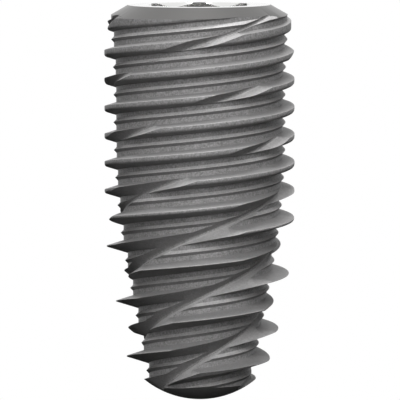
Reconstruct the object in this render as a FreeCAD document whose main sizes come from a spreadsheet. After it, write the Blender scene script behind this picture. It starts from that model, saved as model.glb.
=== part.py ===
"""Screw-shaped dental implant body: one solid of titanium, platform up.

The frame has its origin at the middle of the flat platform, with +Z up along the axis,
so the body hangs below the origin down to the domed apex. Sizes are in millimetres.

How the shape is made, in the order in which the real one is machined:
  blank      the turned outline with the platform and its bevel
  thread     a two-start thread with a low ridge midway in its groove, on a tapering core
  flutes     three long helical grooves with a V section, deeper towards the apex
  apex       a dome, turned down to a ball's outline
  connection a hexagon socket over a blind screw bore
"""
import FreeCAD, Part
import math
import os
import re

import Sketcher

V = FreeCAD.Vector
NODE = "implant_body"

# Each row is the name of a size, its value and what it is.
SIZES = [
    ("implant_length", 10.0, "platform to the tip of the apex"),
    ("platform_dia", 3.61, "rim of the flat platform"),
    ("bevel_dia", 4.60, "where the bevel meets the first crest"),
    ("bevel_height", 0.285, "depth of the bevel at that diameter"),
    ("apex_radius", 2.228, "radius of the domed apex"),
    ("turning_allowance", 0.20, "how far the blank stands outside the crests"),
    ("crest_dia", 4.81, "over the thread crests"),
    ("crest_full_depth", 1.20, "depth at which the crests reach full diameter"),
    ("crest_end_dia", 4.532, "crest diameter that the lead-in cone has at the platform level"),
    ("crest_taper_depth", 4.70, "depth at which the crests start to curve in"),
    ("crest_taper_radius", 20.0, "radius of that curve"),
    ("core_dia", 4.21, "thread root in the parallel part"),
    ("neck_core_dia", 4.505, "thread root at the platform level"),
    ("neck_depth", 2.20, "depth at which the neck flare has run out"),
    ("core_taper_depth", 3.12, "depth at which the root starts to taper"),
    ("core_taper_radius", 20.0, "radius of the curve into the taper"),
    ("core_taper_angle", 10.86, "half angle of the root's cone, in degrees"),
    ("thread_lead", 1.40, "rise in one turn"),
    ("thread_starts", 2, "number of starts"),
    ("thread_height_zero", -0.534, "height of a crest above the +X direction"),
    ("ridge_base", 0.334, "width of the main ridge at its root"),
    ("flank_angle", 16.2, "flank from the radial direction, in degrees"),
    ("least_crest", 0.03, "crest width under which the ridge ends in an edge"),
    ("minor_base", 0.15, "width of the low ridge"),
    ("minor_height", 0.07, "height of the low ridge"),
    ("flute_count", 3, "number of flutes"),
    ("flute_lead", 4.81, "rise of a flute in one turn"),
    ("flute_height_zero", -6.134, "height of a flute's floor above the +X direction"),
    ("flute_upper_angle", 38.0, "upper wall from the radial direction, in degrees"),
    ("flute_lower_angle", 29.0, "lower wall from the radial direction, in degrees"),
    ("flute_neck_radius", 2.22, "point of the flute's V from the axis, at the platform level"),
    ("flute_bend_depth", 5.15, "depth at which the flutes start to deepen"),
    ("flute_bend_radius", 1.94, "point of the V from the axis at that depth"),
    ("flute_deep_angle", 10.5, "slope of the V's point below it, in degrees"),
    ("hex_across_flats", 2.42, "driver socket"),
    ("hex_depth", 1.50, "depth of the hexagon"),
    ("bore_dia", 1.60, "wall of the screw bore"),
    ("bore_depth", 4.60, "full depth of the screw bore"),
    ("drill_angle", 59.0, "half angle of the drill point, in degrees"),
]

# Helical curves are cut in this many pieces a turn, each a polynomial of this degree.
PIECES_PER_TURN = 1
CURVE_DEGREE = 13

doc = FreeCAD.newDocument("implant")
sheet = doc.addObject("Spreadsheet::Sheet", "Sizes")
for row, (name, value, meaning) in enumerate(SIZES, start=1):
    sheet.set(f"A{row}", name)
    sheet.set(f"B{row}", str(value))
    sheet.set(f"C{row}", meaning)
    sheet.setAlias(f"B{row}", name)
doc.recompute()


def size(name):
    """The value that the sheet holds under this name."""
    return float(sheet.get(name))


def slope(name):
    """The tangent of an angle in the sheet."""
    return math.tan(math.radians(size(name)))


def depth_of(height):
    """Depth below the platform, never negative."""
    return max(-height, 0.0)


def curve_in(depth, start, radius, angle=None):
    """How far a line that runs parallel to the axis has curved in at this depth.

    From the start it follows an arc, and past the given angle it goes on as a straight cone.
    """
    run = max(depth - start, 0.0)
    if angle is None:
        return radius - math.sqrt(radius ** 2 - run ** 2)
    arc_run = min(run, radius * math.sin(math.radians(angle)))
    return curve_in(start + arc_run, start, radius) + (run - arc_run) * math.tan(math.radians(angle))


def root_radius(height):
    """Radius of the thread's root: a flared neck, a parallel part and a taper."""
    depth = depth_of(height)
    neck = max(1 - depth / size("neck_depth"), 0.0) ** 2
    flare = (size("neck_core_dia") - size("core_dia")) / 2 * neck
    taper = curve_in(
        depth, size("core_taper_depth"), size("core_taper_radius"), size("core_taper_angle")
    )
    return size("core_dia") / 2 + flare - taper


def crest_radius(height):
    """Radius of the turned outline that flattens the crests."""
    depth = depth_of(height)
    lead_in = max(1 - depth / size("crest_full_depth"), 0.0)
    short = (size("crest_dia") - size("crest_end_dia")) / 2 * lead_in
    taper = curve_in(depth, size("crest_taper_depth"), size("crest_taper_radius"))
    return size("crest_dia") / 2 - short - taper


def flute_radius(height):
    """Distance from the axis to the point of a flute's V."""
    depth = depth_of(height)
    bend = size("flute_bend_depth")
    above = (size("flute_neck_radius") - size("flute_bend_radius")) * max(1 - depth / bend, 0.0)
    below = max(depth - bend, 0.0) * slope("flute_deep_angle")
    return size("flute_bend_radius") + above - below


# A rail is a function that gives the radius and the height at a number of turns.


def rail_curve(rail, low, high):
    """The space curve that a rail draws between two turns.

    It passes the rail at points that lie closer together near the ends, where a single
    polynomial would otherwise swing out.
    """
    shares = [(1 - math.cos(math.pi * step / CURVE_DEGREE)) / 2 for step in range(CURVE_DEGREE + 1)]
    points = [rail_point(rail, low + (high - low) * share) for share in shares]
    curve = Part.BezierCurve()
    curve.interpolate([[point] for point in points], shares)
    return curve


def band(first, second):
    """The face between two curves that were drawn over the same turns."""
    along = [CURVE_DEGREE + 1, CURVE_DEGREE + 1]
    poles = [first.getPoles(), second.getPoles()]
    surface = Part.BSplineSurface()
    surface.buildFromPolesMultsKnots(
        poles, [2, 2], along, [0.0, 1.0], [0.0, 1.0], False, False, 1, CURVE_DEGREE
    )
    return surface.toShape()


def rail_point(rail, turn):
    """The point that a rail passes at a number of turns."""
    radius, height = rail(turn)
    angle = 2 * math.pi * turn
    return V(radius * math.cos(angle), radius * math.sin(angle), height)


def closed_solid(faces, what):
    """The solid inside faces that meet edge to edge."""
    shell = Part.makeShell(faces)
    shell.sewShape()
    if not shell.isClosed():
        raise RuntimeError(f"the faces of {what} leave a gap")
    solid = Part.makeSolid(shell)
    if solid.Volume < 0:
        solid.reverse()
    return solid


def turned_blank():
    """The outline before threading, as a sketch turned round the axis."""
    body = doc.addObject("PartDesign::Body", "blank")
    plane = [f for f in body.Origin.OriginFeatures if f.Role == "XZ_Plane"][0]
    sketch = body.newObject("Sketcher::SketchObject", "blank_outline")
    sketch.AttachmentSupport = [(plane, "")]
    sketch.MapMode = "FlatFace"
    reach = "(crest_dia / 2 + turning_allowance)"
    bevel_slope = "bevel_height / ((bevel_dia - platform_dia) / 2)"
    corners = {
        "platform_rim": ("platform_dia / 2", "0", V(1.8, 0, 0)),
        "bevel_foot": (reach, f"({reach} - platform_dia / 2) * {bevel_slope}", V(2.6, -0.4, 0)),
        "stock_end": (reach, "implant_length + turning_allowance", V(2.6, -10.2, 0)),
    }
    places = [V(0, 0, 0), *(rough for _, _, rough in corners.values()), V(0, -10.2, 0)]
    lines = [Part.LineSegment(a, b) for a, b in zip(places, places[1:] + places[:1])]
    sketch.addGeometry(lines, False)
    for line in range(len(lines)):
        after = (line + 1) % len(lines)
        sketch.addConstraint(Sketcher.Constraint("Coincident", line, 2, after, 1))
    sketch.addConstraint(Sketcher.Constraint("Coincident", 0, 1, -1, 1))
    sketch.addConstraint(Sketcher.Constraint("Horizontal", 0))
    sketch.addConstraint(Sketcher.Constraint("Horizontal", 3))
    sketch.addConstraint(Sketcher.Constraint("Vertical", 4))
    for line, (name, (across, down, rough)) in enumerate(corners.items()):
        index = sketch.addConstraint(Sketcher.Constraint("DistanceX", -1, 1, line, 2, rough.x))
        sketch.renameConstraint(index, f"{name}_across")
        sketch.setExpression(f"Constraints.{name}_across", sheet_expression(across))
        if down == "0":
            continue
        index = sketch.addConstraint(Sketcher.Constraint("DistanceY", line, 2, -1, 1, -rough.y))
        sketch.renameConstraint(index, f"{name}_down")
        sketch.setExpression(f"Constraints.{name}_down", sheet_expression(down))
    turning = body.newObject("PartDesign::Revolution", "blank_turning")
    turning.Profile = (sketch, [""])
    turning.ReferenceAxis = (sketch, ["V_Axis"])
    turning.Angle = 360
    return body


def dome_waste():
    """What is turned away round the domed apex: the end of the stock less a ball."""
    stock = primitive("Part::Cylinder", "apex_stock", {
        "Radius": "crest_dia / 2 + 2 * turning_allowance",
        "Height": "0.8 * apex_radius + 2 * turning_allowance",
        "Placement.Base.z": "-implant_length - 2 * turning_allowance",
    })
    ball = primitive("Part::Sphere", "apex_ball", {
        "Radius": "apex_radius",
        "Placement.Base.z": "apex_radius - implant_length",
    })
    # The ball lies on its side, so that its poles are off the dome.
    ball.Placement.Rotation = FreeCAD.Rotation(V(1, 0, 0), 90)
    waste = doc.addObject("Part::Cut", "dome_waste")
    waste.Base = stock
    waste.Tool = ball
    return waste


def sheet_expression(text):
    """An expression in the sheet's names, as a property can hold it."""
    for name, _, _ in SIZES:
        text = re.sub(rf"\b{name}\b", f"Sizes.{name}", text)
    return text


def main_ridge(turn, start):
    """Heights and radii of one main ridge at a number of turns."""
    pitch = size("thread_lead") / size("thread_starts")
    height = thread_foot() + size("thread_lead") * turn + pitch * start
    below = root_radius(height - pitch / 2)
    above = root_radius(height + pitch / 2)
    flank = slope("flank_angle")
    crest = crest_radius(height)
    flat = size("ridge_base") - (2 * crest - below - above) * flank
    return height, below, above, flat


def thread_foot():
    """Height at which ridge 0 passes the +X direction, well under the apex."""
    lead = size("thread_lead")
    pitches = math.ceil((size("implant_length") + 1.2 * lead) / lead) * size("thread_starts")
    return size("thread_height_zero") - pitches * lead / size("thread_starts")


def ridge_rails(start, flat_of):
    """The rails of one main ridge and of the groove above it, from the foot upwards."""
    pitch = size("thread_lead") / size("thread_starts")
    base = size("ridge_base")
    flank = slope("flank_angle")
    minor = size("minor_base")

    def crest_of(turn):
        height, below, above, _ = main_ridge(turn, start)
        crest = (below + above + (base - flat_of(turn)) / flank) / 2
        return height, below, above, crest

    def foot(turn):
        height, below, _, _ = main_ridge(turn, start)
        return below, height - base / 2

    def crest_low(turn):
        height, below, _, crest = crest_of(turn)
        return crest, height - base / 2 + (crest - below) * flank

    def crest_high(turn):
        height, _, above, crest = crest_of(turn)
        return crest, height + base / 2 - (crest - above) * flank

    def shoulder(turn):
        height, _, above, _ = main_ridge(turn, start)
        return above, height + base / 2

    def minor_low(turn):
        height, _, above, _ = main_ridge(turn, start)
        return above, height + (pitch - minor) / 2

    def minor_edge(turn):
        height, _, above, _ = main_ridge(turn, start)
        return above + size("minor_height"), height + pitch / 2

    def minor_high(turn):
        height, _, above, _ = main_ridge(turn, start)
        return above, height + (pitch + minor) / 2

    return [foot, crest_low, crest_high, shoulder, minor_low, minor_edge, minor_high]


def flat_in_piece(start, low, high):
    """The crest's width over one piece, which runs out to nothing where an end is too thin."""
    natural = [main_ridge(turn, start)[3] for turn in (low, high)]
    thin = [width < size("least_crest") for width in natural]
    if all(thin):
        return None

    def flat_of(turn):
        width = main_ridge(turn, start)[3]
        share = (turn - low) / (high - low)
        if thin[0]:
            width -= natural[0] * (1 - share)
        if thin[1]:
            width -= natural[1] * share
        return width

    return flat_of


def thread_rails(low, high):
    """All rails of the thread between two turns, upwards from the foot of ridge 0."""
    starts = int(size("thread_starts"))
    rails = []
    for start in range(starts):
        flat_of = flat_in_piece(start, low, high)
        if flat_of is None:
            foot, edge, _, *groove = ridge_rails(start, lambda turn: 0.0)
            rails += [foot, edge, *groove]
        else:
            rails += ridge_rails(start, flat_of)
    rails.append(ridge_rails(starts, lambda turn: 0.0)[0])
    return rails


def on_axis(rail):
    """The rail that stays on the axis at another rail's height."""
    return lambda turn: (0.0, rail(turn)[1])


def thread_solid():
    """The thread with its core, longer than the implant at both ends."""
    lead = size("thread_lead")
    first_foot = thread_foot() - size("ridge_base") / 2
    turns = math.ceil((0.1 - first_foot) / lead * PIECES_PER_TURN) / PIECES_PER_TURN
    marks = [step / PIECES_PER_TURN for step in range(round(turns * PIECES_PER_TURN) + 1)]
    faces = []
    for low, high in zip(marks, marks[1:]):
        rails = thread_rails(low, high)
        curves = [rail_curve(rail, low, high) for rail in rails]
        faces += [band(a, b) for a, b in zip(curves, curves[1:])]
        if high <= 1:
            faces.append(band(rail_curve(on_axis(rails[0]), low, high), curves[0]))
        if low >= turns - 1:
            faces.append(band(rail_curve(on_axis(rails[-1]), low, high), curves[-1]))
    for turn, pieces in ((0.0, marks[: PIECES_PER_TURN + 1]), (turns, marks[-PIECES_PER_TURN - 1 :])):
        rails = thread_rails(*(pieces[:2] if turn == 0 else pieces[-2:]))
        outline = [rail_point(rail, turn) for rail in rails]
        side = rails[0] if turn == 0 else rails[-1]
        axis = [rail_point(on_axis(side), mark) for mark in pieces]
        faces.append(Part.Face(Part.makePolygon([axis[0], *outline, *reversed(axis)])))
    return closed_solid(faces, "the thread")


def flute_rails():
    """The rails of one flute, round its section from the outer edge of the lower wall."""
    allowance = size("turning_allowance")
    half_spacing = size("flute_lead") / size("flute_count") / 2
    walls = {-1: slope("flute_lower_angle"), 1: slope("flute_upper_angle")}

    def point_of(turn):
        height = size("flute_height_zero") + size("flute_lead") * turn
        return flute_radius(height), height

    def on_wall(side, rise_of):
        def rail(turn):
            radius, height = point_of(turn)
            rise = rise_of(radius, height)
            return radius + rise, height + side * rise * walls[side]

        return rail

    def to_outside(radius, height):
        return max(crest_radius(height + half_spacing) + allowance - radius, allowance)

    return [on_wall(-1, to_outside), point_of, on_wall(1, to_outside)]


def flute_solid():
    """What one flute takes away, longer than the implant at both ends."""
    lead = size("flute_lead")
    margin = size("turning_allowance")
    low_end = (-size("implant_length") - margin - size("flute_height_zero")) / lead - 0.1
    high_end = (margin - size("flute_height_zero")) / lead + 0.1
    pieces = math.ceil((high_end - low_end) * PIECES_PER_TURN)
    marks = [low_end + (high_end - low_end) * step / pieces for step in range(pieces + 1)]
    rails = flute_rails()
    faces = []
    for low, high in zip(marks, marks[1:]):
        curves = [rail_curve(rail, low, high) for rail in rails]
        faces += [band(a, b) for a, b in zip(curves, curves[1:] + curves[:1])]
    for turn in (marks[0], marks[-1]):
        corners = [rail_point(rail, turn) for rail in rails]
        faces.append(Part.Face(Part.makePolygon([*corners, corners[0]])))
    return closed_solid(faces, "a flute")


def primitive(kind, name, expressions):
    """A Part primitive whose properties follow the sheet."""
    thing = doc.addObject(kind, name)
    for prop, text in expressions.items():
        thing.setExpression(prop, sheet_expression(text))
    return thing


def connection_tools():
    """The socket and the blind bore, as what they take away from the platform down."""
    drill_point = "(bore_dia / 2 / tan(drill_angle * 1 deg))"
    socket = primitive("Part::Prism", "hexagon_socket", {
        "Circumradius": "hex_across_flats / sqrt(3)",
        "Height": "hex_depth + turning_allowance",
        "Placement.Base.z": "-hex_depth",
    })
    socket.Polygon = 6
    bore = primitive("Part::Cylinder", "screw_bore", {
        "Radius": "bore_dia / 2",
        "Height": "bore_depth + turning_allowance",
        "Placement.Base.z": "-bore_depth",
    })
    tip = primitive("Part::Cone", "drill_point", {
        "Radius1": "0",
        "Radius2": "bore_dia / 2",
        "Height": drill_point,
        "Placement.Base.z": f"-bore_depth - {drill_point}",
    })
    return [socket, bore, tip]


blank = turned_blank()

thread = doc.addObject("Part::Feature", "thread")
thread.Shape = thread_solid()

first_flute = flute_solid()
flutes = []
for number in range(int(size("flute_count"))):
    flute = doc.addObject("Part::Feature", f"flute_{number + 1}")
    flute.Shape = first_flute
    turn = 360 * number / size("flute_count")
    flute.Placement = FreeCAD.Placement(V(0, 0, 0), FreeCAD.Rotation(V(0, 0, 1), turn))
    flutes.append(flute)

threaded = doc.addObject("Part::Common", "threaded_blank")
threaded.Base = blank
threaded.Tool = thread

cutters = doc.addObject("Part::MultiFuse", "cutters")
cutters.Shapes = [*flutes, dome_waste(), *connection_tools()]

implant = doc.addObject("Part::Cut", NODE)
implant.Label = NODE
implant.Base = threaded
implant.Tool = cutters
doc.recompute()

for thing in doc.Objects:
    if "Invalid" in thing.State or "Error" in thing.State:
        raise RuntimeError(f"{thing.Label} has failed: {thing.State}")
solid = implant.Shape
if solid.isNull() or not solid.isValid() or len(solid.Solids) != 1:
    raise RuntimeError("the implant isn't one sound solid")

os.makedirs("parts", exist_ok=True)
solid.Solids[0].exportStep(f"parts/{NODE}.step")
print(f"{NODE}: {len(solid.Faces)} faces, {solid.Volume:.2f} cubic millimetres")
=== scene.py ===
# %% [markdown]
# A dental implant body, grown by rules.
#
# The real part is one small titanium screw, 10 mm long, that a dentist turns into the jaw
# bone. It is machined from a bar: turned, threaded, fluted, drilled, and then blasted and
# etched to a matt grain. This script makes it in the same order, with Geometry Nodes, because
# every surface of it follows a rule: a helix, a taper or a turned outline.
#
# The CAD frame is loaded first. It says where the part is, and nothing here moves it.

# %% Load the frame
import collections
import math

import bmesh
import bpy
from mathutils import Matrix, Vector


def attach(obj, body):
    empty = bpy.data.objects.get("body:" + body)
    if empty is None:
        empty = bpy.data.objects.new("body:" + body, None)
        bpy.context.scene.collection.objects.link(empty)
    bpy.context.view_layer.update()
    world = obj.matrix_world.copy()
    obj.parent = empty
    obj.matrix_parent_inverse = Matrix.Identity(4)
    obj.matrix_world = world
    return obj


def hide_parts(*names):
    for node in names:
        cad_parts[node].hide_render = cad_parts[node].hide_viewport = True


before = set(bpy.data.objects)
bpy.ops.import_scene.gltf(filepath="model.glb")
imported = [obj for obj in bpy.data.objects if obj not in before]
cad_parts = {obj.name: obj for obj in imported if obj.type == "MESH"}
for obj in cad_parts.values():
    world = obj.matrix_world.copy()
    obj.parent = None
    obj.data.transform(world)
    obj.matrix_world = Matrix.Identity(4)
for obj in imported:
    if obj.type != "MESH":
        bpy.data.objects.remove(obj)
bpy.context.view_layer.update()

# %% [markdown]
# The camera comes next, because it decides how large each detail is in the picture. A catalogue
# picture like this one is taken with a very long lens, so that the helices at the front and at
# the outline look equally large. The camera looks down by about three and a half degrees,
# which shows a sliver of the platform.

# %% The camera
PICTURE_PIXELS = 400
PIXELS_PER_MM = 39.5
CAMERA_DISTANCE_MM = 11500 / PIXELS_PER_MM
CAMERA_HEIGHT_MM = 12.77
FRAME_WIDTH_MM = PICTURE_PIXELS / PIXELS_PER_MM
AIM_HEIGHT_MM = -4.95
CAMERA_SHIFT = 0.0009
CAMERA_ROLL_DEGREES = -0.12
SENSOR_MM = 36.0


def make_camera():
    """The long-lens camera in front of the part, on its -Y side."""
    data = bpy.data.cameras.new("catalogue_camera")
    camera = bpy.data.objects.new("catalogue_camera", data)
    bpy.context.collection.objects.link(camera)
    camera.location = Vector((0, -CAMERA_DISTANCE_MM, CAMERA_HEIGHT_MM)) / 1000
    aim = Vector((0, 0, AIM_HEIGHT_MM)) / 1000
    camera.rotation_euler = (aim - camera.location).to_track_quat("-Z", "Y").to_euler()
    camera.rotation_euler.rotate_axis("Z", math.radians(CAMERA_ROLL_DEGREES))
    reach = (aim - camera.location).length * 1000
    data.sensor_width = SENSOR_MM
    data.lens = SENSOR_MM * reach / FRAME_WIDTH_MM
    data.shift_x = CAMERA_SHIFT
    data.clip_start = 0.01
    data.clip_end = 10
    return camera


bpy.context.scene.camera = make_camera()
print("camera lens in mm:", round(bpy.context.scene.camera.data.lens, 1))

# %% [markdown]
# All sizes are in millimetres and degrees, as on a drawing. They become the named inputs of
# the tree that grows the body, so each can be set by its name wherever the tree is used. The
# heights are measured from the platform, which is at zero, and a depth is a height turned
# positive.

# %% The sizes
SIZES = {
    "Implant Length": 10.0,
    "Platform Diameter": 3.61,
    "Bevel Diameter": 4.60,
    "Bevel Height": 0.285,
    "Apex Radius": 2.228,
    "Crest Diameter": 4.81,
    "Crest End Diameter": 4.532,
    "Crest Full Depth": 1.20,
    "Crest Taper Depth": 4.70,
    "Crest Taper Radius": 20.0,
    "Core Diameter": 4.21,
    "Neck Core Diameter": 4.505,
    "Neck Depth": 2.20,
    "Core Taper Depth": 3.12,
    "Core Taper Radius": 20.0,
    "Core Taper Angle": 10.86,
    "Thread Lead": 1.40,
    "Thread Starts": 2,
    "Thread Height Zero": -0.528,
    "Ridge Base": 0.31,
    "Flank Angle": 16.2,
    "Least Crest": 0.02,
    "Crest Rounding": 0.055,
    "Crest Upper Rounding": 0.012,
    "Low Ridge Base": 0.15,
    "Low Ridge Height": 0.07,
    "Flute Count": 3,
    "Flute Lead": 4.81,
    "Flute Height Zero": -6.134,
    "Flute Upper Angle": 38.0,
    "Flute Lower Angle": 29.0,
    "Flute Floor Radius": 0.08,
    "Flute Neck Radius": 2.13,
    "Flute Bend Depth": 3.95,
    "Flute Bend Radius": 2.11,
    "Flute Deep Angle": 10.5,
    "Hexagon Across Flats": 2.42,
    "Hexagon Depth": 1.50,
    "Hexagon Lead In": 0.10,
    "Bore Diameter": 1.60,
    "Bore Depth": 4.60,
    "Bore Thread Lead": 0.35,
    "Bore Thread Height": 0.10,
    "Drill Angle": 59.0,
    "Steps A Turn": 180,
}
print("sizes on the drawing:", len(SIZES))

# %% [markdown]
# A tree of nodes is hard to read when it holds a hundred Math nodes, and so is a script that
# makes them one by one. A small class helps: a Value is a number on its way through a tree,
# and each plus or times sign between Values adds one Math node. The formulas below then read
# as they would on paper.

# %% Values that reckon with nodes
class Value:
    """A number in a tree. Each sign between two of them adds one Math node."""

    def __init__(self, socket):
        self.socket = socket
        self.tree = socket.id_data

    def __add__(self, other):
        return reckon("ADD", self, other)

    def __radd__(self, other):
        return reckon("ADD", other, self)

    def __sub__(self, other):
        return reckon("SUBTRACT", self, other)

    def __rsub__(self, other):
        return reckon("SUBTRACT", other, self)

    def __mul__(self, other):
        return reckon("MULTIPLY", self, other)

    def __rmul__(self, other):
        return reckon("MULTIPLY", other, self)

    def __truediv__(self, other):
        return reckon("DIVIDE", self, other)

    def __rtruediv__(self, other):
        return reckon("DIVIDE", other, self)


def add_node(tree, kind, **settings):
    """A new node, laid out in rows of twelve, with its settings."""
    node = tree.nodes.new(kind)
    count = len(tree.nodes)
    node.location = (190 * (count % 12), -230 * (count // 12))
    for name, setting in settings.items():
        setattr(node, name, setting)
    return node


def join(source, socket):
    """Links a Value or a socket to a socket, or sets the socket to a plain number."""
    if isinstance(source, Value):
        source = source.socket
    if isinstance(source, bpy.types.NodeSocket):
        socket.id_data.links.new(source, socket)
    else:
        socket.default_value = source


def reckon(operation, *terms):
    """One Math node over Values and plain numbers."""
    tree = next(term.tree for term in terms if isinstance(term, Value))
    node = add_node(tree, "ShaderNodeMath", operation=operation)
    for term, socket in zip(terms, node.inputs):
        join(term, socket)
    return Value(node.outputs[0])


def larger(a, b):
    return reckon("MAXIMUM", a, b)


def smaller(a, b):
    return reckon("MINIMUM", a, b)


def tangent(degrees):
    """The tangent of an angle in degrees."""
    return reckon("TANGENT", reckon("RADIANS", degrees))


def share_passed(value, start):
    """How much of the step from start to start + 1 a value has passed, from 0 to 1."""
    return smaller(larger(value - start, 0.0), 1.0)


def new_tree(name, inputs):
    """An empty tree with named inputs, which puts out one mesh."""
    tree = bpy.data.node_groups.new(name, "GeometryNodeTree")
    tree.interface.new_socket("Mesh", in_out="OUTPUT", socket_type="NodeSocketGeometry")
    for label, default in inputs.items():
        kind = "NodeSocketInt" if isinstance(default, int) else "NodeSocketFloat"
        tree.interface.new_socket(label, in_out="INPUT", socket_type=kind).default_value = default
    entry = add_node(tree, "NodeGroupInput")
    return tree, {label: Value(entry.outputs[label]) for label in inputs}


def put_out(tree, mesh):
    """Ends a tree with its result."""
    leave = add_node(tree, "NodeGroupOutput")
    join(mesh, leave.inputs[0])


print("helpers are ready")

# %% [markdown]
# A thread is a strip that climbs round the axis. One grid holds it all: along the grid runs
# the number of turns, and across it run the corners of the thread's section, from the foot of
# a ridge over its crest, down to the root, over the low middle ridge and on to the next foot.
# Each point of the grid is then put in its place by formulas, and neighbouring turns are
# merged where they touch. The same tree makes the fine thread in the screw bore.
#
# The root follows a flared neck, a parallel part and a taper. The crests follow an outline of
# their own. They are flat where that outline cuts the ridge short, and sharp where the flanks
# meet before they reach it.

# %% Outlines that the thread follows
def bend_away(run, radius):
    """How far an arc of this radius has left its tangent after a run along it."""
    return radius - reckon("SQRT", radius * radius - run * run)


def root_radius(height, size):
    """Radius of the root at a height: flared neck, parallel part and taper."""
    depth = larger(0.0 - height, 0.0)
    neck = larger(1.0 - depth / size["Neck Depth"], 0.0)
    flare = (size["Neck Core Radius"] - size["Core Radius"]) * neck * neck
    angle = reckon("RADIANS", size["Core Taper Angle"])
    run = larger(depth - size["Core Taper Depth"], 0.0)
    arc_run = smaller(run, size["Core Taper Radius"] * reckon("SINE", angle))
    taper = bend_away(arc_run, size["Core Taper Radius"])
    taper = taper + (run - arc_run) * reckon("TANGENT", angle)
    return size["Core Radius"] + flare - taper


def crest_radius(height, size):
    """Radius of the turned outline that the crests reach."""
    depth = larger(0.0 - height, 0.0)
    lead_in = larger(1.0 - depth / size["Crest Full Depth"], 0.0)
    short = (size["Crest Radius"] - size["Crest End Radius"]) * lead_in
    run = larger(depth - size["Crest Taper Depth"], 0.0)
    return size["Crest Radius"] - short - bend_away(run, size["Crest Taper Radius"])


print("outlines: root and crest")

# %% [markdown]
# Corners are easy to state as a list of places. To place a whole row of grid points from such
# a list, the steps between the places are added up, each weighted with how much of it the row
# has passed. That takes one clamp for each step and no switches.

# %% Strips from corners, and closed ends
MERGE_MM = 0.0005


def along(corners, passed):
    """The place reached along a list of corners, after a number of steps."""
    place = corners[0]
    for step, (here, there) in enumerate(zip(corners, corners[1:])):
        place = place + share_passed(passed, float(step)) * (there - here)
    return place


def winding_grid(tree, turns, steps, rows):
    """A grid, with the turns along it and the rows across it as whole steps."""
    grid = add_node(tree, "GeometryNodeMeshGrid")
    join(turns, grid.inputs["Size X"])
    join(rows, grid.inputs["Size Y"])
    join(turns * steps + 1.0, grid.inputs["Vertices X"])
    join(rows + 1.0, grid.inputs["Vertices Y"])
    place = add_node(tree, "GeometryNodeInputPosition")
    split = add_node(tree, "ShaderNodeSeparateXYZ")
    join(place.outputs[0], split.inputs[0])
    turn = reckon("ROUND", (Value(split.outputs["X"]) + turns / 2.0) * steps) / steps
    row = reckon("ROUND", Value(split.outputs["Y"]) + rows / 2.0)
    return grid.outputs["Mesh"], turn, row


def wound_round(tree, mesh, turn, radius, height):
    """Puts grid points at a radius and a height, wound round the axis, and merges the seams."""
    angle = turn * math.tau
    point = add_node(tree, "ShaderNodeCombineXYZ")
    join(radius * reckon("COSINE", angle), point.inputs["X"])
    join(radius * reckon("SINE", angle), point.inputs["Y"])
    join(height, point.inputs["Z"])
    placed = add_node(tree, "GeometryNodeSetPosition")
    join(mesh, placed.inputs["Geometry"])
    join(point.outputs[0], placed.inputs["Position"])
    return merged(tree, placed.outputs[0])


def merged(tree, mesh):
    node = add_node(tree, "GeometryNodeMergeByDistance")
    join(mesh, node.inputs["Geometry"])
    node.inputs["Distance"].default_value = MERGE_MM
    return node.outputs[0]


def ends_closed(tree, mesh, low_point, high_point, middle):
    """Draws each open end together in one point, so that the strip becomes a solid."""
    neighbours = add_node(tree, "GeometryNodeInputMeshEdgeNeighbors")
    is_open = add_node(tree, "FunctionNodeCompare", data_type="INT", operation="EQUAL")
    join(neighbours.outputs["Face Count"], is_open.inputs["A"])
    is_open.inputs["B"].default_value = 1
    skirt = add_node(tree, "GeometryNodeExtrudeMesh", mode="EDGES")
    join(mesh, skirt.inputs["Mesh"])
    join(is_open.outputs[0], skirt.inputs["Selection"])
    skirt.inputs["Offset Scale"].default_value = 0.0
    place = add_node(tree, "GeometryNodeInputPosition")
    split = add_node(tree, "ShaderNodeSeparateXYZ")
    join(place.outputs[0], split.inputs[0])
    is_high = reckon("GREATER_THAN", Value(split.outputs["Z"]), middle)
    tip = []
    for low, high in zip(low_point, high_point):
        tip.append(low + is_high * (high - low))
    point = add_node(tree, "ShaderNodeCombineXYZ")
    for part, socket in zip(tip, point.inputs):
        join(part, socket)
    drawn = add_node(tree, "GeometryNodeSetPosition")
    join(skirt.outputs["Mesh"], drawn.inputs["Geometry"])
    join(skirt.outputs["Top"], drawn.inputs["Selection"])
    join(point.outputs[0], drawn.inputs["Position"])
    return merged(tree, drawn.outputs[0])


print("corners closer together than this in mm are merged:", MERGE_MM)

# %% The thread tree
THREAD_INPUTS = {
    "First Height": -13.0,
    "Turns": 10,
    "Steps A Turn": 180,
    "Lead": 1.4,
    "Starts": 2,
    "Ridge Base": 0.31,
    "Flank Angle": 16.2,
    "Least Crest": 0.02,
    "Crest Rounding": 0.055,
    "Crest Upper Rounding": 0.012,
    "Low Ridge Base": 0.15,
    "Low Ridge Height": 0.07,
    "Core Radius": 2.1,
    "Neck Core Radius": 2.25,
    "Neck Depth": 2.2,
    "Core Taper Depth": 3.12,
    "Core Taper Radius": 20.0,
    "Core Taper Angle": 10.86,
    "Crest Radius": 2.4,
    "Crest End Radius": 2.27,
    "Crest Full Depth": 1.2,
    "Crest Taper Depth": 4.7,
    "Crest Taper Radius": 20.0,
}
CORNER_SHARES = (0.0, 0.33, 0.67, 1.0)
STEPS_A_RIDGE = 5 + 2 * len(CORNER_SHARES)


def rounded_corner(corner, before, after):
    """Places on the parabola that leaves one point and reaches another, near a corner."""
    places = []
    for share in CORNER_SHARES:
        bend = before * (1 - share) ** 2 + corner * (2 * share * (1 - share))
        places.append(bend + after * share ** 2)
    return places


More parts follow.
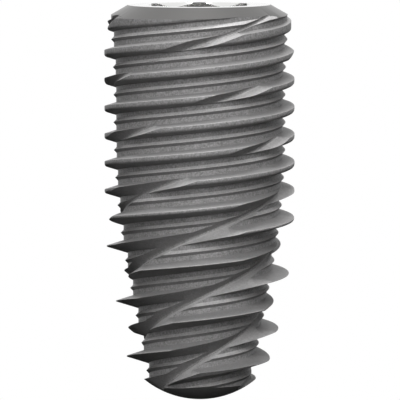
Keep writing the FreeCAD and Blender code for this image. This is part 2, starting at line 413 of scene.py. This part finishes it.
def make_thread_tree():
    """A solid rod with a thread of one or more starts."""
    tree, size = new_tree("Threaded Rod", THREAD_INPUTS)
    rows = size["Starts"] * float(STEPS_A_RIDGE)
    mesh, turn, row = winding_grid(tree, size["Turns"] * 1.0, size["Steps A Turn"] * 1.0, rows)
    start = smaller(reckon("FLOOR", row / STEPS_A_RIDGE), size["Starts"] - 1.0)
    passed = row - start * STEPS_A_RIDGE
    pitch = size["Lead"] / size["Starts"]
    middle = size["First Height"] + size["Lead"] * turn + pitch * start
    below = root_radius(middle - pitch / 2.0, size)
    above = root_radius(middle + pitch / 2.0, size)
    base = size["Ridge Base"]
    flank = tangent(size["Flank Angle"])
    flat = base - (crest_radius(middle, size) * 2.0 - below - above) * flank
    flat = larger(flat, size["Least Crest"])
    crest = (below + above + (base - flat) / flank) / 2.0
    low_edge = (crest - below) * flank - base * 0.5
    high_edge = base * 0.5 - (crest - above) * flank
    # Each crest corner is rounded off between a point on its flank and one on the flat.
    cut = smaller(size["Crest Rounding"], flat / 2.0)
    cut_above = smaller(size["Crest Upper Rounding"], flat / 2.0)
    low_ridge = size["Low Ridge Base"]
    offsets = [
        base * -0.5,
        *rounded_corner(low_edge, low_edge - cut * flank, low_edge + cut),
        *rounded_corner(high_edge, high_edge - cut_above, high_edge + cut_above * flank),
        base * 0.5,
        (pitch - low_ridge) / 2.0,
        pitch / 2.0,
        (pitch + low_ridge) / 2.0,
        pitch - base * 0.5,
    ]
    radii = [
        below,
        *rounded_corner(crest, crest - cut, crest),
        *rounded_corner(crest, crest, crest - cut_above),
        above,
        above,
        above + size["Low Ridge Height"],
        above,
        above,
    ]
    radius = along(radii, passed)
    height = middle + along(offsets, passed)
    surface = wound_round(tree, mesh, turn, radius, height)
    low_end = size["First Height"] + size["Lead"] / 2.0
    high_end = low_end + size["Lead"] * (size["Turns"] - 1.0)
    zero = low_end * 0.0
    tips = ((zero, zero, low_end), (zero, zero, high_end))
    put_out(tree, ends_closed(tree, surface, *tips, (low_end + high_end) / 2.0))
    return tree


thread_tree = make_thread_tree()
print("thread tree:", len(thread_tree.nodes), "nodes")

# %% [markdown]
# A flute is a long groove that clears the bone chips and gives the screw its cutting edges.
# Its section is a V with a narrow rounded floor, and it winds round the axis much more steeply
# than the thread. Just under the bevel it cuts a little into the flared root, and below that it
# only nicks the ridges. Past the bend it runs inwards faster than the root does and cuts into
# it again, by about 0.12 mm in the last third of the length. The solid that a flute takes away
# is a strip once more: out from the lower edge, along the lower wall, round the floor, up the
# upper wall, and back outside the body.
# The floor is a parabola that touches both walls where an arc of the floor's radius would.

# %% The flute tree
FLUTE_INPUTS = {
    "Height Zero": -6.134,
    "First Turn": -1.0,
    "Turns": 3,
    "Steps A Turn": 180,
    "Lead": 4.81,
    "Upper Angle": 38.0,
    "Lower Angle": 29.0,
    "Floor Radius": 0.08,
    "Neck Radius": 2.13,
    "Bend Depth": 3.95,
    "Bend Radius": 2.11,
    "Deep Angle": 10.5,
    "Reach": 2.7,
}
FLOOR_STEPS = 10


def flute_point_radius(height, size):
    """Distance from the axis to the point where a flute's walls would meet."""
    depth = larger(0.0 - height, 0.0)
    above = larger(1.0 - depth / size["Bend Depth"], 0.0)
    above = (size["Neck Radius"] - size["Bend Radius"]) * above
    below = larger(depth - size["Bend Depth"], 0.0) * tangent(size["Deep Angle"])
    return size["Bend Radius"] + above - below


def make_flute_tree():
    """What one flute takes away."""
    tree, size = new_tree("Flute", FLUTE_INPUTS)
    rows = size["Floor Radius"] * 0.0 + float(FLOOR_STEPS + 3)
    mesh, turn, row = winding_grid(tree, size["Turns"] * 1.0, size["Steps A Turn"] * 1.0, rows)
    turn = turn + size["First Turn"]
    middle = size["Height Zero"] + size["Lead"] * turn
    point = flute_point_radius(middle, size)
    lower = reckon("RADIANS", size["Lower Angle"])
    upper = reckon("RADIANS", size["Upper Angle"])
    touch = size["Floor Radius"] / reckon("TANGENT", (lower + upper) * 0.5)
    touch_low = touch * reckon("COSINE", lower)
    touch_high = touch * reckon("COSINE", upper)
    rise = size["Reach"] - point
    # Row 0 is outside, rows 1 to FLOOR_STEPS + 1 are the floor, the next is outside again,
    # and the last one comes back to row 0.
    round_floor = smaller(larger((row - 1.0) / FLOOR_STEPS, 0.0), 1.0)
    from_low = (1.0 - round_floor) * (1.0 - round_floor)
    from_high = round_floor * round_floor
    back_again = share_passed(row, float(FLOOR_STEPS + 2))
    out_low = 1.0 - share_passed(row, 0.0) + back_again
    out_high = share_passed(row, float(FLOOR_STEPS + 1)) - back_again
    rise_low = touch_low * from_low + (rise - touch_low) * out_low
    rise_low = rise_low + touch_low * back_again
    rise_high = touch_high * from_high * (1.0 - back_again) + (rise - touch_high) * out_high
    radius = point + rise_low + rise_high
    height = middle - rise_low * reckon("TANGENT", lower) + rise_high * reckon("TANGENT", upper)
    surface = wound_round(tree, mesh, turn, radius, height)
    # The two open ends are drawn to points in the middle of their own sections.
    ends = []
    for end in (size["First Turn"], size["First Turn"] + size["Turns"]):
        end_height = size["Height Zero"] + size["Lead"] * end
        end_radius = (flute_point_radius(end_height, size) + size["Reach"]) / 2.0
        ends.append((
            end_radius * reckon("COSINE", end * math.tau),
            end_radius * reckon("SINE", end * math.tau),
            end_height,
        ))
    between = (ends[0][2] + ends[1][2]) / 2.0
    closed = ends_closed(tree, surface, *ends, between)
    # The section runs the other way round than the thread's, so its faces are turned over.
    outwards = add_node(tree, "GeometryNodeFlipFaces")
    join(closed, outwards.inputs[0])
    put_out(tree, outwards.outputs[0])
    return tree


flute_tree = make_flute_tree()
print("flute tree:", len(flute_tree.nodes), "nodes")

# %% [markdown]
# Now the parts come together as on the machine. The threaded rod is kept only where it lies
# inside the bevelled cone of the neck. Everything else is taken away from it: the flutes,
# which are one flute put on three points and turned, the waste round the ball-shaped apex, the
# hexagon socket and the threaded screw bore. The solver for closed, clean meshes does this in
# a moment. It wants every solid to be closed, which is why the strips' ends were closed.

# %% Small tools for the machining tree
ROUND_FACETS = 192


def group_node(tree, inner, inputs):
    """One tree used inside another, with its inputs joined."""
    node = add_node(tree, "GeometryNodeGroup", node_tree=inner)
    for label, value in inputs.items():
        join(value, node.inputs[label])
    return node.outputs[0]


def moved(tree, mesh, height, degrees=0.0):
    """The mesh raised along the axis and turned about it."""
    node = add_node(tree, "GeometryNodeTransform")
    join(mesh, node.inputs["Geometry"])
    up = add_node(tree, "ShaderNodeCombineXYZ")
    join(height, up.inputs["Z"])
    join(up.outputs[0], node.inputs["Translation"])
    node.inputs["Rotation"].default_value = (0.0, 0.0, math.radians(degrees))
    return node.outputs[0]


def cone(tree, low_radius, high_radius, low, high, around=ROUND_FACETS):
    """A cone or a cylinder between two heights."""
    node = add_node(tree, "GeometryNodeMeshCone", fill_type="NGON")
    node.inputs["Vertices"].default_value = around
    join(high_radius, node.inputs["Radius Top"])
    join(low_radius, node.inputs["Radius Bottom"])
    join(high - low, node.inputs["Depth"])
    return moved(tree, node.outputs["Mesh"], low, 90.0 if around == 6 else 0.0)


def boolean(tree, operation, first, *others):
    """The first solid with the others kept, taken away or added."""
    node = add_node(tree, "GeometryNodeMeshBoolean", operation=operation, solver="MANIFOLD")
    if operation == "DIFFERENCE":
        join(first, node.inputs["Mesh 1"])
    else:
        others = (first, *others)
    for other in others:
        join(other, node.inputs["Mesh 2"])
    return node.outputs["Mesh"]


print("machining tools: cone, moved, boolean")

# %% The cutters
MARGIN_MM = 0.2
BALL_RINGS = 128


def flute_cutters(tree, size):
    """The flute, put on one point for each and turned evenly round the axis."""
    one = group_node(tree, flute_tree, {
        "Height Zero": size["Flute Height Zero"],
        "First Turn": -1.3,
        "Turns": 3,
        "Steps A Turn": size["Steps A Turn"],
        "Lead": size["Flute Lead"],
        "Upper Angle": size["Flute Upper Angle"],
        "Lower Angle": size["Flute Lower Angle"],
        "Floor Radius": size["Flute Floor Radius"],
        "Neck Radius": size["Flute Neck Radius"],
        "Bend Depth": size["Flute Bend Depth"],
        "Bend Radius": size["Flute Bend Radius"],
        "Deep Angle": size["Flute Deep Angle"],
        "Reach": size["Crest Diameter"] / 2.0 + MARGIN_MM,
    })
    points = add_node(tree, "GeometryNodeMeshLine")
    join(size["Flute Count"], points.inputs["Count"])
    points.inputs["Offset"].default_value = (0.0, 0.0, 0.0)
    index = add_node(tree, "GeometryNodeInputIndex")
    turn = add_node(tree, "ShaderNodeCombineXYZ")
    join(Value(index.outputs[0]) * math.tau / size["Flute Count"], turn.inputs["Z"])
    copies = add_node(tree, "GeometryNodeInstanceOnPoints")
    join(points.outputs[0], copies.inputs["Points"])
    join(one, copies.inputs["Instance"])
    join(turn.outputs[0], copies.inputs["Rotation"])
    real = add_node(tree, "GeometryNodeRealizeInstances")
    join(copies.outputs[0], real.inputs[0])
    return real.outputs[0]


def apex_waste(tree, size):
    """What is turned away round the apex: the end of the stock less a ball."""
    end = 0.0 - size["Implant Length"]
    ball = add_node(tree, "GeometryNodeMeshUVSphere")
    ball.inputs["Segments"].default_value = ROUND_FACETS
    ball.inputs["Rings"].default_value = BALL_RINGS
    join(size["Apex Radius"], ball.inputs["Radius"])
    ball_mesh = moved(tree, ball.outputs["Mesh"], end + size["Apex Radius"])
    reach = size["Crest Diameter"] / 2.0 + 2 * MARGIN_MM
    top = end + size["Apex Radius"] * 0.8
    stock = cone(tree, reach, reach, end - 2 * MARGIN_MM, top)
    return boolean(tree, "DIFFERENCE", stock, ball_mesh)


def connection_cutters(tree, size):
    """The hexagon, its broken edge, the drilled bore and the thread in it."""
    hexagon_radius = size["Hexagon Across Flats"] / math.sqrt(3)
    bore = size["Bore Diameter"] / 2.0
    floor = 0.0 - size["Hexagon Depth"]
    bottom = 0.0 - size["Bore Depth"]
    above = size["Bore Depth"] * 0.0 + MARGIN_MM
    hexagon = cone(tree, hexagon_radius, hexagon_radius, floor, above, around=6)
    flat = size["Hexagon Across Flats"] / 2.0
    lead_in = size["Hexagon Lead In"]
    edge = cone(tree, flat - MARGIN_MM, flat + lead_in + MARGIN_MM, 0.0 - lead_in - MARGIN_MM, above)
    drilled = cone(tree, bore, bore, bottom, above)
    point = cone(tree, bore * 0.0, bore, bottom - bore / tangent(size["Drill Angle"]), bottom)
    seat = cone(tree, bore, bore + 2 * size["Bore Thread Height"], floor - 0.15, floor + 0.05)
    lead = size["Bore Thread Lead"]
    thread = group_node(tree, thread_tree, {
        "First Height": bottom + lead * 0.7,
        "Turns": 7,
        "Steps A Turn": 60,
        "Lead": lead,
        "Starts": 1,
        "Ridge Base": lead * 0.7,
        "Flank Angle": 30.0,
        "Least Crest": 0.01,
        "Low Ridge Base": lead * 0.1,
        "Low Ridge Height": 0.0,
        "Core Radius": bore - 0.004,
        "Neck Core Radius": bore - 0.004,
        "Core Taper Depth": 50.0,
        "Crest Radius": bore + size["Bore Thread Height"],
        "Crest End Radius": bore + size["Bore Thread Height"],
        "Crest Taper Depth": 50.0,
    })
    return [hexagon, edge, drilled, point, seat, thread]


print("cutters: flutes, apex waste, connection")

# %% The machining tree
SHARP_EDGE_DEGREES = 28.0
PLATFORM_SKIN_MM = 0.001
BEVEL_SKIN_MM = 0.01


def bevel_slope(size):
    """How far the bevel runs outwards for each step down."""
    return (size["Bevel Diameter"] - size["Platform Diameter"]) / 2.0 / size["Bevel Height"]


def threaded_blank(tree, size):
    """The threaded rod, turned down to the bevel of the neck."""
    rod = group_node(tree, thread_tree, {
        "First Height": size["Thread Height Zero"] - size["Thread Lead"] * 9.0,
        "Turns": 10,
        "Steps A Turn": size["Steps A Turn"],
        "Lead": size["Thread Lead"],
        "Starts": size["Thread Starts"],
        "Ridge Base": size["Ridge Base"],
        "Flank Angle": size["Flank Angle"],
        "Least Crest": size["Least Crest"],
        "Crest Rounding": size["Crest Rounding"],
        "Crest Upper Rounding": size["Crest Upper Rounding"],
        "Low Ridge Base": size["Low Ridge Base"],
        "Low Ridge Height": size["Low Ridge Height"],
        "Core Radius": size["Core Diameter"] / 2.0,
        "Neck Core Radius": size["Neck Core Diameter"] / 2.0,
        "Neck Depth": size["Neck Depth"],
        "Core Taper Depth": size["Core Taper Depth"],
        "Core Taper Radius": size["Core Taper Radius"],
        "Core Taper Angle": size["Core Taper Angle"],
        "Crest Radius": size["Crest Diameter"] / 2.0,
        "Crest End Radius": size["Crest End Diameter"] / 2.0,
        "Crest Full Depth": size["Crest Full Depth"],
        "Crest Taper Depth": size["Crest Taper Depth"],
        "Crest Taper Radius": size["Crest Taper Radius"],
    })
    slope = bevel_slope(size)
    stock = size["Implant Length"] + MARGIN_MM
    platform = size["Platform Diameter"] / 2.0
    bevel = cone(tree, platform + slope * stock, platform, 0.0 - stock, stock * 0.0)
    return boolean(tree, "INTERSECT", rod, bevel)


def make_body_tree(blasted, machined):
    """The whole implant body, in millimetres until the last step makes them metres."""
    tree, size = new_tree("Implant Body", SIZES)
    blank = threaded_blank(tree, size)
    cutters = [flute_cutters(tree, size), apex_waste(tree, size), *connection_cutters(tree, size)]
    body = boolean(tree, "DIFFERENCE", blank, *cutters)
    angle = add_node(tree, "GeometryNodeInputMeshEdgeAngle")
    is_sharp = reckon(
        "GREATER_THAN", Value(angle.outputs["Unsigned Angle"]), math.radians(SHARP_EDGE_DEGREES)
    )
    smooth = add_node(tree, "GeometryNodeSetShadeSmooth", domain="FACE")
    join(body, smooth.inputs["Geometry"])
    creased = add_node(tree, "GeometryNodeSetShadeSmooth", domain="EDGE")
    join(smooth.outputs[0], creased.inputs["Geometry"])
    join(is_sharp, creased.inputs["Selection"])
    creased.inputs["Shade Smooth"].default_value = False
    # The platform, its bevel and the connection are machined. The rest is blasted.
    place = add_node(tree, "GeometryNodeInputPosition")
    split = add_node(tree, "ShaderNodeSeparateXYZ")
    join(place.outputs[0], split.inputs[0])
    x, y, z = (Value(socket) for socket in split.outputs)
    from_axis = reckon("SQRT", x * x + y * y)
    is_top = reckon("GREATER_THAN", z, -PLATFORM_SKIN_MM)
    in_socket = reckon("LESS_THAN", from_axis, size["Hexagon Across Flats"] * 0.6)
    above_core = reckon("GREATER_THAN", z, 0.0 - size["Bore Depth"] - 1.0)
    cone_radius = size["Platform Diameter"] / 2.0 - z * bevel_slope(size)
    on_bevel = reckon("GREATER_THAN", from_axis, cone_radius - BEVEL_SKIN_MM)
    is_machined = larger(larger(is_top, on_bevel), in_socket * above_core)
    real = add_node(tree, "GeometryNodeRealizeInstances")
    join(creased.outputs[0], real.inputs[0])
    rough = add_node(tree, "GeometryNodeSetMaterial")
    join(real.outputs[0], rough.inputs["Geometry"])
    rough.inputs["Material"].default_value = blasted
    bright = add_node(tree, "GeometryNodeSetMaterial")
    join(rough.outputs[0], bright.inputs["Geometry"])
    join(is_machined, bright.inputs["Selection"])
    bright.inputs["Material"].default_value = machined
    metres = add_node(tree, "GeometryNodeTransform")
    join(bright.outputs[0], metres.inputs["Geometry"])
    metres.inputs["Scale"].default_value = (0.001, 0.001, 0.001)
    put_out(tree, metres.outputs[0])
    return tree


titanium = bpy.data.materials.new("blasted_titanium")
bright_titanium = bpy.data.materials.new("machined_titanium")
body_tree = make_body_tree(titanium, bright_titanium)
print("body tree:", len(body_tree.nodes), "nodes")

# %% [markdown]
# The tree runs as a modifier on an empty mesh. Its sizes are set once more by the identifiers
# of its sockets, so that the numbers on the drawing above are certain to be the ones used. The
# result is then copied into a plain mesh, which can be measured, exported and painted.

# %% Grow the body
def grown(name, tree, sizes):
    """A plain mesh object that the tree has made."""
    seed = bpy.data.objects.new(name + "_seed", bpy.data.meshes.new(name + "_seed"))
    bpy.context.collection.objects.link(seed)
    modifier = seed.modifiers.new("machining", "NODES")
    modifier.node_group = tree
    for item in tree.interface.items_tree:
        if item.in_out == "INPUT" and item.name in sizes:
            modifier[item.identifier] = sizes[item.name]
    graph = bpy.context.evaluated_depsgraph_get()
    mesh = bpy.data.meshes.new_from_object(seed.evaluated_get(graph))
    bpy.data.objects.remove(seed)
    mesh.name = name
    piece = bpy.data.objects.new(name, mesh)
    bpy.context.collection.objects.link(piece)
    return piece


# %% [markdown]
# The solver can leave a fold, which is two triangles back to back on the same three corners. It
# encloses nothing, but four faces then meet in one edge, and the mesh is no longer a clean
# closed skin. Both triangles of each fold are taken out, and corners that lie in one place are
# welded. The weld loses some of the sharp edges, and the walls would then be shaded with jagged
# notches, so all of them are marked again by angle.

# %% Take out the folds
WELD_MM = 0.00001


def unfolded(mesh):
    """Takes the folds out of a mesh, welds its corners and marks its sharp edges again."""
    skin = bmesh.new()
    skin.from_mesh(mesh)
    bmesh.ops.triangulate(skin, faces=skin.faces[:])
    found = bmesh.ops.find_doubles(skin, verts=skin.verts[:], dist=WELD_MM / 1000)
    target = found["targetmap"]
    places = {face: frozenset(target.get(v, v) for v in face.verts) for face in skin.faces}
    uses = collections.Counter(places.values())
    folds = [face for face, place in places.items() if len(place) == 3 and uses[place] == 2]
    bmesh.ops.weld_verts(skin, targetmap=target)
    folds = [face for face in folds if face.is_valid]
    bmesh.ops.delete(skin, geom=folds, context="FACES")
    for edge in skin.edges:
        is_plain = len(edge.link_faces) == 2
        edge.smooth = is_plain and edge.calc_face_angle() < math.radians(SHARP_EDGE_DEGREES)
    many = sum(len(edge.link_faces) != 2 for edge in skin.edges)
    skin.to_mesh(mesh)
    skin.free()
    return len(folds), many


implant = grown("implant_screw", body_tree, SIZES)
fold_count, odd_edges = unfolded(implant.data)
print("folded triangles taken out:", fold_count)
print("edges that don't join two faces:", odd_edges)
print("triangles:", len(implant.data.polygons))
heights = [vertex.co.z * 1000 for vertex in implant.data.vertices]
print("lowest and highest point in mm:", round(min(heights), 3), round(max(heights), 3))

# %% [markdown]
# The finish is titanium that was blasted with grit and then etched in acid. It is a dark grey
# that looks almost matt in the picture, so it mirrors only a little. The pits of its grain are
# finer than the mesh and are made in the material: one noise for the grain that tilts the
# surface, and a second, broader one that makes patches slightly lighter or darker. In the
# picture the grain is plain on the upright root and weak on the flanks of the thread.

# %% The blasted titanium
GRAIN_MM = 0.045
PATCH_MM = 0.16
TITANIUM = (0.235, 0.232, 0.232, 1.0)
METAL_SHARE = 0.12
BLASTED_ROUGHNESS = 0.45
BLASTED_GLOSS = 0.15
GRAIN_CONTRAST = 1.7
PATCH_CONTRAST = 0.7
GRAIN_FADE = 0.75
GRAIN_BUMP = 0.25
GRAIN_DEPTH_MM = 0.01
# Painted highlight on faces that lean back: the lean it is centred on, its spread and its gain.
PAINTED_HIGHLIGHT_LEAN = 0.72
PAINTED_HIGHLIGHT_SPREAD = 0.2
PAINTED_HIGHLIGHT_GAIN = 0.75


def shader_noise(tree, place, width_mm, detail):
    """Noise whose features are about this wide on the surface."""
    node = add_node(tree, "ShaderNodeTexNoise")
    node.inputs["Scale"].default_value = 1000 / width_mm
    node.inputs["Detail"].default_value = detail
    node.inputs["Roughness"].default_value = 0.6
    join(place, node.inputs["Vector"])
    return Value(node.outputs["Fac"])


def paint_titanium(material):
    """Fills the material with the blasted and etched finish."""
    material.use_nodes = True
    tree = material.node_tree
    shader = next(node for node in tree.nodes if node.type == "BSDF_PRINCIPLED")
    shader.inputs["Metallic"].default_value = METAL_SHARE
    shader.inputs["Roughness"].default_value = BLASTED_ROUGHNESS
    shader.inputs["Specular IOR Level"].default_value = BLASTED_GLOSS
    coordinates = add_node(tree, "ShaderNodeTexCoord")
    place = coordinates.outputs["Object"]
    grain = shader_noise(tree, place, GRAIN_MM, 3.0)
    patches = shader_noise(tree, place, PATCH_MM, 4.0)
    split = add_node(tree, "ShaderNodeSeparateXYZ")
    join(coordinates.outputs["Normal"], split.inputs[0])
    # The grain is full where the wall is upright, and fades on the slanting flanks.
    leaning = Value(split.outputs["Z"])
    upright = 1.0 - reckon("ABSOLUTE", leaning) * GRAIN_FADE
    tone = 1.0 + ((grain - 0.5) * GRAIN_CONTRAST + (patches - 0.5) * PATCH_CONTRAST) * upright
    # Faces that lean back by about half a right angle get a painted highlight: their tone is made
    # paler than the lamps alone would make them.
    off = (leaning - PAINTED_HIGHLIGHT_LEAN) / PAINTED_HIGHLIGHT_SPREAD
    tone = tone * (1.0 + PAINTED_HIGHLIGHT_GAIN * larger(1.0 - off * off, 0.0))
    colour = add_node(tree, "ShaderNodeVectorMath", operation="SCALE")
    colour.inputs[0].default_value = TITANIUM[:3]
    join(tone, colour.inputs["Scale"])
    join(colour.outputs[0], shader.inputs["Base Color"])
    bump = add_node(tree, "ShaderNodeBump")
    bump.inputs["Strength"].default_value = GRAIN_BUMP
    bump.inputs["Distance"].default_value = GRAIN_DEPTH_MM / 1000
    join(grain, bump.inputs["Height"])
    join(bump.outputs[0], shader.inputs["Normal"])


paint_titanium(titanium)
print("titanium:", len(titanium.node_tree.nodes), "nodes")

# %% The machined titanium
TURNED_TITANIUM = (0.15, 0.148, 0.145, 1.0)
# The pale colour of the flat faces and the socket is a painted highlight.
PAINTED_HIGHLIGHT_TITANIUM = (0.80, 0.80, 0.79, 1.0)
TURNED_ROUGHNESS = 0.32
LAPPED_ROUGHNESS = 0.12
SOCKET_REACH_MM = 1.5
FLAT_LEAN = 0.97
TURNING_MARK_MM = 0.02
TURNING_BUMP = 0.08
TURNING_DEPTH_MM = 0.002


def paint_bright(material):
    """Bare turned metal with fine rings, lapped where it is flat and inside the socket.
    There it is also painted pale, which is a painted highlight.
    """
    material.use_nodes = True
    tree = material.node_tree
    shader = next(node for node in tree.nodes if node.type == "BSDF_PRINCIPLED")
    shader.inputs["Metallic"].default_value = 1.0
    coordinates = add_node(tree, "ShaderNodeTexCoord")
    place = coordinates.outputs["Object"]
    split = add_node(tree, "ShaderNodeSeparateXYZ")
    join(coordinates.outputs["Normal"], split.inputs[0])
    is_flat = reckon("GREATER_THAN", Value(split.outputs["Z"]), FLAT_LEAN)
    spot = add_node(tree, "ShaderNodeSeparateXYZ")
    join(place, spot.inputs[0])
    x, y = Value(spot.outputs["X"]), Value(spot.outputs["Y"])
    in_socket = reckon("LESS_THAN", reckon("SQRT", x * x + y * y), SOCKET_REACH_MM / 1000)
    # Flat faces and the socket are lapped, which makes them smoother, and their colour gets a
    # painted highlight.
    lapped_with_painted_highlight = larger(is_flat, in_socket)
    roughness = TURNED_ROUGHNESS + lapped_with_painted_highlight * (LAPPED_ROUGHNESS - TURNED_ROUGHNESS)
    join(roughness, shader.inputs["Roughness"])
    colour = add_node(tree, "ShaderNodeMix", data_type="RGBA")
    join(lapped_with_painted_highlight, colour.inputs["Factor"])
    colour.inputs["A"].default_value = TURNED_TITANIUM
    colour.inputs["B"].default_value = PAINTED_HIGHLIGHT_TITANIUM
    join(colour.outputs["Result"], shader.inputs["Base Color"])
    rings = add_node(tree, "ShaderNodeTexWave", wave_type="RINGS", rings_direction="Z")
    rings.inputs["Scale"].default_value = 1000 / TURNING_MARK_MM / math.tau
    rings.inputs["Distortion"].default_value = 0.4
    join(place, rings.inputs["Vector"])
    bump = add_node(tree, "ShaderNodeBump")
    bump.inputs["Strength"].default_value = TURNING_BUMP
    bump.inputs["Distance"].default_value = TURNING_DEPTH_MM / 1000
    join(rings.outputs["Fac"], bump.inputs["Height"])
    join(bump.outputs[0], shader.inputs["Normal"])


paint_bright(bright_titanium)
print("machined titanium:", len(bright_titanium.node_tree.nodes), "nodes")

# %% [markdown]
# The picture has a plain white ground. A white world would also shine on the metal from below,
# where the picture is dark, so the world is white where it is looked at and reflected, and a
# dark card lies under the part, as a photographer puts a black flag under shiny metal. The
# card isn't seen by the camera. Two soft lamps stand in front, one low and one raised, and the
# strongest hangs above. Together they light a face more the further it leans back. None
# stands behind: a light from there pales the outline, which is dark in the picture.

# %% The studio
WHITE = (1.0, 1.0, 1.0, 1.0)
DIM = (0.02, 0.02, 0.02, 1.0)
FLOOR_GREY = (0.8, 0.8, 0.8, 1.0)
FLAG_GREY = (0.02, 0.02, 0.02, 1.0)
FLOOR_RADIUS = 0.60
FLOOR_HEIGHT = -0.06
FLAG_RADIUS = 0.25
FLAG_HEIGHT = -0.04
CARD_CORNERS = 64
LAMP_SIZE = 0.12
LAMP_DISTANCE = 0.30
LAMP_AIM = (0, 0, -0.005)
# Each lamp's name, its angle above the part's middle in degrees, and its watts.
LAMPS = (
    ("lamp_in_front", 20, 0.40),
    ("lamp_raised", 42, 0.52),
    ("lamp_above", 80, 0.90),
)


def node_of(tree, kind):
    """The node of a kind that a new material already has."""
    return next(node for node in tree.nodes if node.type == kind)


def mixed_by_sight(tree, lit, seen):
    """One shader where light falls from it, another where it is looked at or mirrored."""
    path = add_node(tree, "ShaderNodeLightPath")
    is_seen = larger(Value(path.outputs["Is Camera Ray"]), Value(path.outputs["Is Glossy Ray"]))
    is_seen = larger(is_seen, Value(path.outputs["Is Transmission Ray"]))
    mix = add_node(tree, "ShaderNodeMixShader")
    join(is_seen, mix.inputs[0])
    join(lit.outputs[0], mix.inputs[1])
    join(seen.outputs[0], mix.inputs[2])
    return mix.outputs[0]


def make_world(colour_seen, colour_lit):
    """A world with one colour to look at and another as a light."""
    world = bpy.data.worlds.new("white_room")
    bpy.context.scene.world = world
    world.use_nodes = True
    tree = world.node_tree
    tree.nodes.clear()
    seen = add_node(tree, "ShaderNodeBackground")
    seen.inputs["Color"].default_value = colour_seen
    lit = add_node(tree, "ShaderNodeBackground")
    lit.inputs["Color"].default_value = colour_lit
    leave = add_node(tree, "ShaderNodeOutputWorld")
    join(mixed_by_sight(tree, lit, seen), leave.inputs[0])


def floor_paint():
    """A pale matt floor that is white to look at, also in a reflection."""
    paint = bpy.data.materials.new("pale_floor")
    paint.use_nodes = True
    tree = paint.node_tree
    shader = node_of(tree, "BSDF_PRINCIPLED")
    shader.inputs["Base Color"].default_value = FLOOR_GREY
    shader.inputs["Roughness"].default_value = 0.9
    glow = add_node(tree, "ShaderNodeEmission")
    join(mixed_by_sight(tree, shader, glow), node_of(tree, "OUTPUT_MATERIAL").inputs[0])
    return paint


def flag_paint():
    """Black flock, which mirrors nothing."""
    paint = bpy.data.materials.new("black_flock")
    paint.use_nodes = True
    shader = node_of(paint.node_tree, "BSDF_PRINCIPLED")
    shader.inputs["Base Color"].default_value = FLAG_GREY
    shader.inputs["Specular IOR Level"].default_value = 0.0
    return paint


def disc(name, radius, height, material):
    """A round card, flat at a height."""
    rim = []
    for step in range(CARD_CORNERS):
        angle = math.tau * step / CARD_CORNERS
        rim.append((radius * math.cos(angle), radius * math.sin(angle), height))
    mesh = bpy.data.meshes.new(name)
    mesh.from_pydata(rim, [], [tuple(range(CARD_CORNERS))])
    mesh.materials.append(material)
    card = bpy.data.objects.new(name, mesh)
    bpy.context.collection.objects.link(card)
    return card


def soft_lamp(name, elevation_degrees, watts):
    """A square soft lamp in front of the part, at an angle above its middle, facing it."""
    data = bpy.data.lights.new(name, "AREA")
    data.size = LAMP_SIZE
    data.energy = watts
    lamp = bpy.data.objects.new(name, data)
    angle = math.radians(elevation_degrees)
    aim = Vector(LAMP_AIM)
    away = Vector((0, -math.cos(angle), math.sin(angle))) * LAMP_DISTANCE
    lamp.location = aim + away
    lamp.rotation_euler = (-away).to_track_quat("-Z", "Y").to_euler()
    bpy.context.collection.objects.link(lamp)


bpy.context.scene.view_settings.view_transform = "Standard"
make_world(WHITE, DIM)
flag = disc("flag_below", FLAG_RADIUS, FLAG_HEIGHT, flag_paint())
flag.visible_camera = False
disc("floor", FLOOR_RADIUS, FLOOR_HEIGHT, floor_paint())
for name, elevation, watts in LAMPS:
    soft_lamp(name, elevation, watts)
print("studio: white room, pale floor, one flag, lamps:", len(LAMPS))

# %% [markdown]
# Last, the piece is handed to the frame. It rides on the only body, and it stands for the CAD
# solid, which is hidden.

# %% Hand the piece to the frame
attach(implant, "root")
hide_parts("implant_body")
